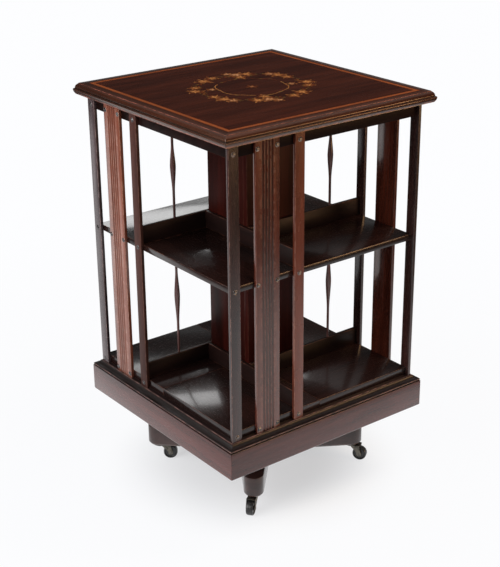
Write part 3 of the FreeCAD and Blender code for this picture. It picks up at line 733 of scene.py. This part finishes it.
def make_plinth():
    bead_half = SKIRT_HALF - 3.4
    cove = arc(LEDGE_HALF + 9.4, BOARD_UNDER + 0.4, 8.2, 192, 262, 7)
    bead = arc(SKIRT_HALF - 3.1, BOARD_UNDER - 9.6, 2.2, 82, -82, 8)
    profile = [(LEDGE_INNER, BOARD_UNDER), (LEDGE_HALF - 2.0, BOARD_UNDER),
               (LEDGE_HALF - 0.6, BOARD_UNDER), (LEDGE_HALF, BOARD_UNDER - 0.3),
               (LEDGE_HALF + 0.2, BOARD_UNDER - 1.2)]
    profile += cove + [(bead_half, BOARD_UNDER - 7.3)] + bead
    profile += [(bead_half, MOULD_UNDER + 0.2), (bead_half, MOULD_UNDER),
                (LEDGE_INNER, MOULD_UNDER)]
    # The ledge's outer arris and the bead's crest get the lighter edge mark, partly wear and
    # partly painted highlight. The ledge's inner edge, the cove, the quirk above the bead and the
    # foot get painted shade.
    mitred("plinth_cornice", profile, [WOODS["cornice_x"], WOODS["cornice_y"]], "mahogany",
           ("plinth_moulding",), closed=True, wear_and_highlight=[2, 3, 17, 18], smooth=30,
           deep=(0, 7, 8, 9, 12, 13, len(profile) - 3, len(profile) - 2))
    outer = [(SKIRT_HALF - 0.9, MOULD_UNDER), (SKIRT_HALF - 0.25, MOULD_UNDER - 0.25),
             (SKIRT_HALF, MOULD_UNDER - 0.9)]
    lower = arc(SKIRT_HALF - 3.0, SKIRT_UNDER + 3.0, 3.0, 0, -90, 5)
    inner = SKIRT_HALF - SKIRT_THICK
    profile = outer + lower + [(inner, SKIRT_UNDER), (inner, MOULD_UNDER)]
    # The skirt's lower round gets the lighter edge mark, partly wear and partly painted highlight;
    # its edges under the cornice get painted shade.
    mitred("plinth_frame", profile, [WOODS["skirt_x"], WOODS["skirt_y"]], "mahogany",
           tuple("plinth_skirt_%d" % (k + 1) for k in range(4)), closed=True,
           wear_and_highlight=[5, 6], radius=1.4, smooth=30, deep=(0, 1, len(profile) - 1))


# --- Base

def bar_outline(tip, root):
    """Plan of a tapered bar along X, drawn in at its round ends and at its waist."""
    out = []
    for way in (0, 180):
        a = math.radians(way)
        for x, y in arc(0, 0, BAR_TIP - tip, -88, 88, 14):
            px, py = BAR_REACH + x, y
            out.append((px * math.cos(a) - py * math.sin(a), px * math.sin(a) + py * math.cos(a)))
        out.append((0.0, (BAR_ROOT - root) * math.cos(a)))
    return out


def make_bars():
    # Level, and how far the ends and the waist are drawn in there
    rows = ((BAR_UNDER, 4.6, 1.2), (BAR_UNDER + 0.6, 3.8, 0.4), (BAR_UNDER + 4.8, 0.4, 0),
            (BAR_UNDER + 5.8, 0, 0), (BAR_TOP - 1.4, 0, 0), (BAR_TOP - 0.4, 0.4, 0.4),
            (BAR_TOP, 1.4, 1.4))
    points, faces = skin([[(x, y, z) for x, y in bar_outline(tip, root)]
                          for z, tip, root in rows])
    count = len(points) // len(rows)
    wear = [1.0 if k // count in (1, 2, 5) else 0.0 for k in range(len(points))]
    for number, name in enumerate(("lower", "upper")):
        turn = BAR_TURN + number * math.pi / 2
        bar = piece(name + "_arm", points, faces, WOODS["black_x"], "base", "ebonised",
                    ("cross_bar_" + name,), wear=wear, smooth=30, turn=turn)
        cut_lap(bar, number, turn)


def cut_lap(bar, number, turn):
    """Halve the bar where the other one crosses it."""
    middle, joint, past = (BAR_UNDER + BAR_TOP) / 2, 0.05, 5
    low, high = ((middle - joint, BAR_TOP + past) if number == 0 else
                 (BAR_UNDER - past, middle + joint))
    over, wide = 44.0, BAR_ROOT + joint
    edge = wide - (BAR_ROOT - BAR_TIP) / BAR_REACH * over
    outline = [(wide, 0), (edge, over), (-edge, over), (-wide, 0), (-edge, -over), (edge, -over)]
    spin = Matrix.Rotation(turn, 4, "Z")
    shell = skin([[spin @ Vector((x * MM, y * MM, z * MM)) for x, y in outline]
                  for z in (low, high)])
    cutter = put("cutter", mesh_of("cutter", *shell))
    lap = bar.modifiers.new("lap", "BOOLEAN")
    lap.operation, lap.object, lap.solver = "DIFFERENCE", cutter, "EXACT"
    bpy.context.view_layer.update()
    graph = bpy.context.evaluated_depsgraph_get()
    cut = bpy.data.meshes.new_from_object(bar.evaluated_get(graph))
    bar.modifiers.clear()
    bar.data = cut
    bpy.data.objects.remove(cutter)


def make_hub():
    low, high, radius = BAR_TOP, HUB_TOP, HUB_RADIUS
    shell = lathe([(POST_HOLE, low), (radius - 1.0, low), (radius, low + 1.0),
                   (radius, high - 1.5), (radius - 1.5, high), (POST_HOLE, high)], 48)
    piece("turned_hub", *shell, WOODS["black_z"], "base", "ebonised", ("base_hub",),
          smooth=30)


# --- Castors

def castor_frames():
    """For each castor: the pin's place in mm, and the heading of its wheel."""
    out = {}
    for name in CASTORS:
        low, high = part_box("castor_wheel_" + name)
        wheel = (low + high) / 2
        swivel = next(j for j in frame["joints"] if j["name"] == "castor_%s_swivel" % name)
        pin = Vector(swivel["pos_m"])
        out[name] = (pin / MM, math.atan2(wheel.y - pin.y, wheel.x - pin.x))
    return out


# Half of the wheel's section, as (radius, distance from its middle plane)
WHEEL_SIDE = ((2.05, 7), (4.6, 7), (5.2, 6.4), (5.4, 5.4), (10.6, 5.0), (11.4, 5.6), (12.0, 6.7),
              (13.2, 7), (14.2, 6.5), (14.8, 5.2), (15, 3))
AXLE_END = ((2, 9.3), (1.8, 9.7), (1.2, 10.05), (0.2, 10.2))


def wheel_shell(steps=40):
    """Rounded tread, dished sides and raised hub, round an open bore."""
    profile = [(r, -x) for r, x in WHEEL_SIDE] + list(WHEEL_SIDE[::-1])
    points, faces = lathe(profile, steps)
    last = (len(profile) - 1) * steps
    bore = [(k, (k + 1) % steps, last + (k + 1) % steps, last + k) for k in range(steps)]
    return points, faces[:-2] + bore


def yoke_shell():
    """Two cheeks, a bridge and a round swivel head on the pin."""
    outline = arc(CASTOR_TRAIL, WHEEL_RADIUS, 5.2, -200, 20, 11)
    outline += [(24.4, 24), (22.6, 31.6), (21.5, 34.4), (3, 34.4), (4.4, 31), (9.0, 26.5),
                (14.5, 20.5)]
    mx, mz = (sum(p[k] for p in outline) / len(outline) for k in (0, 1))
    parts = []
    for side in (-1, 1):
        rows = []
        for y, inset in ((7.5, 0.0), (8.9, 0.0), (9.4, 0.35), (YOKE_HALF, 0.9)):
            shrink = 1 - inset / 14
            rows.append([(mx + (x - mx) * shrink, side * y, mz + (z - mz) * shrink)
                         for x, z in outline])
        parts.append(skin(rows))
    plan = arc(0, 0, 9.2, 70, 290, 14)
    plan += [(22.5, -YOKE_HALF), (24.2, -8.6), (24.2, 8.6), (22.5, YOKE_HALF)]
    rows = []
    for z, inset in ((31.4, 0.9), (31.8, 0.2), (34.2, 0.0), (34.9, 0.3), (35.2, 1.0)):
        rows.append([(x * (1 - inset / 16) + 8 * inset / 16, y * (1 - inset / 11), z)
                     for x, y in plan])
    parts.append(skin(rows))
    parts.append(lathe([(3.9, 61), (3.9, 37.6), (5.4, 37.4), (7.4, 36.4), (8.2, 35.2),
                        (7.6, 35.0)], 28))
    return joined(parts)


def make_castor(name, pin, heading):
    stand = Matrix.Translation((pin.x, pin.y, 0)) @ Matrix.Rotation(heading, 4, "Z")
    across = (stand @ Matrix.Translation((CASTOR_TRAIL, 0, WHEEL_RADIUS))
              @ Matrix.Rotation(-math.pi / 2, 4, "X"))
    points, faces = wheel_shell()
    wear = [1.0 if math.hypot(p[0], p[1]) > WHEEL_RADIUS - 0.5 else 0.0 for p in points]
    piece("wheel_disc_" + name, *moved((points, faces), across), WHEEL, "wheel_" + name,
          "castor_wheel", ("castor_wheel_" + name,), wear=wear, smooth=30)
    points, faces = moved(lathe([(r, -x) for r, x in AXLE_END[::-1]] + list(AXLE_END), 20),
                          across)
    piece("axle_pin_" + name, points, faces, IRON, "castor_" + name, "iron",
          ("castor_axle_" + name,), wear=[1.0] * len(points), smooth=40)
    points, faces = yoke_shell()
    wear = [0.9 if abs(abs(p[1]) - YOKE_HALF) < 0.3 or 34.8 < p[2] < 36.8 else 0.0 for p in points]
    piece("yoke_" + name, *moved((points, faces), stand), BRASS, "castor_" + name,
          "castor_brass", ("castor_horn_" + name,), wear=wear, smooth=34)


def make_castors():
    ring = lathe([(8.6, 35.5), (14.6, 35.5), (15.7, 36.0), (16, 36.8), (16, 38), (8.6, 38)], 36)
    head = lathe([(1.9, 0), (1.7, -0.35), (1.1, -0.6), (0.3, -0.68)], 12)
    parts = []
    for name, (pin, heading) in castor_frames().items():
        make_castor(name, pin, heading)
        stand = Matrix.Translation((pin.x, pin.y, 0)) @ Matrix.Rotation(BAR_TURN, 4, "Z")
        parts.append(moved(ring, stand))
        for a in (30, 150, 270):
            spot = (*polar(12.2, math.radians(a)), 35.6)
            parts.append(moved(head, stand @ Matrix.Translation(spot)))
    points, faces = joined(parts)
    piece("castor_plate_rings", points, faces, BRASS, "base", "castor_brass",
          ("castor_plates",), wear=[0.5] * len(points), smooth=34)


# --- Wreath

class Marquetry:
    """Flat veneer cuttings a hair above the field, one shell for each tone."""

    def __init__(self):
        self.shells = {}

    def add(self, tone, rows, place, lift=0.0):
        """Rows of plan points from side to side; the outer ones are scorched."""
        points, faces, wear = self.shells.setdefault(tone, ([], [], []))
        start, count = len(points), len(rows[0])
        z = FIELD + 0.06 + lift
        for number, row in enumerate(rows):
            edge = 1.0 if number in (0, len(rows) - 1) else 0.0
            for x, y in row:
                spot = place @ Vector((x, y, 0))
                points.append((spot.x, spot.y, z if not edge else z - 0.05))
                wear.append(edge)
        for number in range(len(rows) - 1):
            for k in range(count - 1):
                a = start + number * count + k
                faces.append((a, a + 1, a + 1 + count, a + count))

    def leaf(self, tone, x, y, angle, length, width, bend=0.0, lift=0.0):
        """A pointed leaf: an edge, the bent midrib and the other edge."""
        rows = [], [], []
        for k in range(8):
            share = k / 7
            middle = bend * length * math.sin(share * math.pi * 0.5) ** 2
            half = width / 2 * math.sin(math.pi * share ** 0.8) ** 0.85
            for row, side in zip(rows, (1, 0, -1)):
                row.append((length * share, middle + side * half))
        place = Matrix.Translation((x, y, 0)) @ Matrix.Rotation(angle, 4, "Z")
        self.add(tone, rows, place, lift)

    def stem(self, tone, path, width):
        """A thin line through plan points."""
        left, right = [], []
        for k, (x, y) in enumerate(path):
            ax, ay = path[max(k - 1, 0)]
            bx, by = path[min(k + 1, len(path) - 1)]
            dx, dy = bx - ax, by - ay
            size = math.hypot(dx, dy) or 1.0
            nx, ny = -dy / size * width / 2, dx / size * width / 2
            left.append((x + nx, y + ny))
            right.append((x - nx, y - ny))
        self.add(tone, [left, path, right], Matrix.Identity(4))

    def flower(self, x, y, size, petals, turn, inner):
        for k in range(petals):
            a = turn + 2 * math.pi * k / petals
            self.leaf("amber", x, y, a, size, size * 0.55, lift=0.01 + 0.02 * (k % 2))
        for k in range(petals):
            a = turn + 2 * math.pi * (k + 0.5) / petals
            self.leaf(inner, x, y, a, size * (0.72 if k % 2 else 0.6), size * 0.44,
                      lift=0.05 + 0.01 * (k % 2))
        ring = [polar(1.6, 2 * math.pi * k / 12) for k in range(13)]
        self.add("umber", [ring, [(0.0, 0.0)] * 13], Matrix.Translation((x, y, 0)), 0.1)

    def build(self):
        for tone, (points, faces, wear) in sorted(self.shells.items()):
            piece("wreath_" + tone, points, faces, VENEERS[tone], "case",
                  "satinwood", wear=wear, smooth=60)


# Sprays of the wreath, each also used half a turn on: the angle and radius of the
# middle, then flowers as (along the ring, outwards, size, petals).
SPRAYS = (
    (22.5, 105, ((2.8, 4.0, 13.5, 6), (22.5, 3.5, 10.5, 5), (-20.5, -1.8, 11, 5))),
    (67.5, 98, ((5.5, 5.4, 13.5, 6), (-16.5, 6.3, 13, 6), (2.0, -17.0, 11.5, 5),
                (22.0, 14.5, 8.5, 5))),
    (112.5, 103, ((8.7, 0.5, 14, 6), (-21.7, 0.0, 11.5, 5))),
    (157.5, 105, ((7.2, 7.8, 13, 6), (0.9, -25.6, 8.5, 5), (-19.7, 3.6, 10, 5))),
)


def make_wreath():
    """A thin ring in three lengths, a wreath of sprays round it and a flower inside."""
    m = Marquetry()
    dice = random.Random(31)
    for k in range(3):
        a0, a1 = math.radians(120 * k + 8), math.radians(120 * k + 118)
        path = [polar(RING_RADIUS + 1.8 * math.sin(4 * math.pi * s / 30), a0 + (a1 - a0) * s / 30)
                for s in range(31)]
        m.stem("gold" if k else "umber", path, 2.2 if k == 1 else 1.8)
        for s in (3, 9, 15, 21, 27):
            x, y = path[s]
            m.leaf("green" if s % 2 else "umber", x, y,
                   math.atan2(y, x) + dice.choice((1.1, -2.0)), 10, 3.8, 0.2)
    for half in (0, 180):
        for number, (heading, radius, flowers) in enumerate(SPRAYS):
            a = math.radians(heading + half)
            out, along = (math.cos(a), math.sin(a)), (-math.sin(a), math.cos(a))

            def spot(u, v):
                return ((radius + v) * out[0] + u * along[0], (radius + v) * out[1] + u * along[1])

            for side in (-1, 1):
                path = [spot(side * (6 + 27 * s / 8), -9 * math.sin(s / 8 * 2.4) + 3)
                        for s in range(9)]
                m.stem("umber", path, 1.8)
                for s in (2, 4, 6, 8):
                    x, y = path[s]
                    head = math.atan2(y - path[s - 1][1], x - path[s - 1][0])
                    for flank in (-1, 1):
                        size = 10.5 - 0.4 * s + dice.uniform(-1.0, 1.0)
                        m.leaf("green" if (s // 2 + flank) % 2 else "umber", x, y,
                               head + flank * (0.8 + 0.2 * dice.random()), size, size * 0.42,
                               -0.3 * flank)
            for order, (u, v, size, petals) in enumerate(flowers):
                x, y = spot(u, v)
                turn = a + dice.uniform(-0.4, 0.4)
                for step in range(5):
                    lean = turn + math.radians(72 * step + 38)
                    m.leaf("green" if step == 1 else "umber", x, y, lean, size * 1.5,
                           size * 0.5, 0.2)
                    if step % 2 == 0:
                        dx, dy = polar(size * 0.95, lean)
                        m.leaf("gold", x + dx, y + dy, lean + 0.5, size * 0.62, size * 0.26,
                               lift=0.03)
                pale = (order + number) % 3 == 1
                m.flower(x, y, size * 1.3, petals, turn, "cream" if pale else "gold")
    for k in range(8):
        a = math.pi * k / 4
        m.leaf("umber" if k % 2 else "amber", *polar(2, a), a, 11 if k % 2 else 15, 4.8)
    m.flower(0, 0, 6, 6, 0.2, "cream")
    m.build()


# --- CAD nodes that keep their own mesh

def dress_nodes():
    plain = {"pivot_post": IRON, "bearing_plate": IRON, "thrust_washer": BUSH, "top_bush": BUSH}
    for name, mat in plain.items():
        mesh = frame["nodes"][name].data
        mesh.materials.clear()
        mesh.materials.append(mat)


# --- Stage, light and camera

# Painted pools of light: patches where the floor glows brighter to reflected rays only, so that
# the polish mirrors them: place, full and faded distance, power
POOLS = ((-0.3, -0.1, 1.0, 1.85, 0.9), (-0.95, 1.55, 0.3, 0.65, 0.9),
         (-1.25, 2.3, 0.3, 0.65, 1.0))
# Brightness of the room by height: a pale horizon, dim above it, bright overhead
ROOM = ((0.0, 0.2), (0.03, 0.15), (0.09, 0.05), (0.2, 0.02), (0.45, 0.04), (0.7, 0.4),
        (1.0, 0.7))


def make_stage():
    """A pale floor: lit by the lamps near the object, evenly pale further out, its own colour
    darker far off. Reflected rays see it glow, with the painted pools of light of POOLS.
    """
    t = Tree("studio_floor")
    path = t.add("ShaderNodeLightPath")
    direct = path.outputs["Is Camera Ray"]
    mirrored = t.math("MAXIMUM", path.outputs["Is Glossy Ray"],
                      path.outputs["Is Transmission Ray"])
    place = t.place()
    away = t.vector("LENGTH", place)
    # Glow that reflected rays see: painted pools of light.
    bright = 0.03
    for x, y, near, far, power in POOLS:
        reach = t.vector("DISTANCE", place, (x, y, 0.0))
        bright = t.plus(t.spread(reach, near, far, power, 0.0), bright)
    share = t.plus(t.spread(away, 0.12, 0.34, 0.56, 0.95), t.spread(away, 0.34, 1.6, 0.0, 0.05))
    seen = t.math("MAXIMUM", t.times(direct, share), mirrored)
    power = t.plus(direct, t.times(mirrored, bright))
    grey = t.spread(away, 0.9, 2.0, 0.86, 0.15)
    dull = t.add("ShaderNodeBsdfDiffuse", Color=t.mix(grey, (0, 0, 0, 1), (0.92, 0.95, 1, 1)))
    glow = t.add("ShaderNodeEmission", Color=(0.982, 0.986, 1, 1), Strength=power)
    mixed = t.add("ShaderNodeMixShader")
    for name, val in (("0", seen), ("1", dull.outputs[0]), ("2", glow.outputs[0])):
        t.feed(mixed, name, val)
    floor = put("floor", mesh_of("floor", [(60 * x, 60 * y, 0) for x, y in CORNERS],
                                 [(0, 1, 2, 3)]))
    floor.data.materials.append(t.finish(mixed))


def make_world():
    """The camera sees plain white. The polish mirrors the levels of ROOM."""
    t = Tree("studio", world=True)
    split = t.add("ShaderNodeSeparateXYZ",
                  Vector=t.add("ShaderNodeTexCoord").outputs["Generated"])
    ramp = t.add("ShaderNodeValToRGB", Fac=split.outputs[2])
    stops = ramp.color_ramp.elements
    for made, (position, grey) in zip(stops, (ROOM[0], ROOM[-1])):
        made.position, made.color = position, (grey, grey, grey, 1)
    for position, grey in ROOM[1:-1]:
        stops.new(position).color = (grey, grey, grey, 1)
    direct = t.add("ShaderNodeLightPath").outputs["Is Camera Ray"]
    colour = t.mix(direct, ramp.outputs[0], (0.98, 0.98, 0.99, 1))
    bpy.context.scene.world = t.finish(t.add("ShaderNodeBackground", Color=colour))


def lamp(name, place, target, size, power, colour=(1, 1, 1), spread=180, mirrored=True,
         lit=True):
    """A soft lamp. One that isn't mirrored shows in no reflection, one not lit only there."""
    data = bpy.data.lights.new(name, "AREA")
    data.shape = "RECTANGLE"
    data.size, data.size_y = size
    data.energy = power
    data.color = colour
    data.spread = math.radians(spread)
    thing = put(name, data)
    thing.location = place
    thing.rotation_mode = "QUATERNION"
    thing.rotation_quaternion = (Vector(target) - Vector(place)).to_track_quat("-Z", "Y")
    thing.visible_camera = False
    thing.visible_glossy = mirrored
    thing.visible_diffuse = lit


def make_lights():
    lamp("key_left", (-2.05, 0.1, 1.3), (0, 0, 0.4), (1.6, 1.6), 42, (1.0, 0.98, 0.96))
    lamp("right_top", (1.24, -0.81, 2.4), (0, 0, 0.5), (1.0, 1.0), 30, (1.0, 0.8, 0.58),
         mirrored=False)
    lamp("right_low", (1.42, -1.93, 1.0), (0, -0.2, 0.5), (1.0, 1.0), 9, (1.0, 0.7, 0.5),
         mirrored=False)
    lamp("right_line", (1.3, -2.05, 0.58), (0, -0.2, 0.8), (2.0, 0.42), 26, (1.0, 0.58, 0.28),
         lit=False)
    lamp("fill_front", (-1.2, -2.6, 1.9), (0, 0, 0.4), (1.6, 1.6), 4)
    lamp("behind", (0.12, 0.53, 0.626), (-0.1, 0.1, 0.376), (0.6, 0.18), 0.163, spread=70)


PHOTO_HEIGHT, FOCAL_LENGTH = 567, 1272.2  # in pixels of the photograph
SENSOR = 36


def make_camera():
    """The photograph's camera, fitted to corners and edges of the object."""
    data = bpy.data.cameras.new("camera")
    data.sensor_width = SENSOR
    data.lens = FOCAL_LENGTH * SENSOR / PHOTO_HEIGHT
    data.shift_x = -3.64 / PHOTO_HEIGHT
    data.clip_start, data.clip_end = 0.05, 200
    cam = put("camera", data)
    az, el, roll = math.radians(-37.644), math.radians(22.501), math.radians(-0.495)
    distance, aim = 2.5939, Vector((0, 0, 0.4053))
    back = Vector((math.sin(az) * math.cos(el), -math.cos(az) * math.cos(el), math.sin(el)))
    side = Vector((0, 0, 1)).cross(back).normalized()
    rise = back.cross(side)
    x = side * math.cos(roll) + rise * math.sin(roll)
    y = rise * math.cos(roll) - side * math.sin(roll)
    turn = Matrix((x, y, back)).transposed().to_4x4()
    cam.matrix_world = Matrix.Translation(aim + back * distance) @ turn
    bpy.context.scene.camera = cam
    bpy.context.scene.view_settings.view_transform = "Standard"


make_top()
make_stringing()
make_boards()
make_core()
make_fences()
make_spindles()
make_slats()
make_screws()
make_plinth()
make_bars()
make_hub()
make_castors()
make_wreath()
dress_nodes()
make_stage()
make_world()
make_lights()
make_camera()
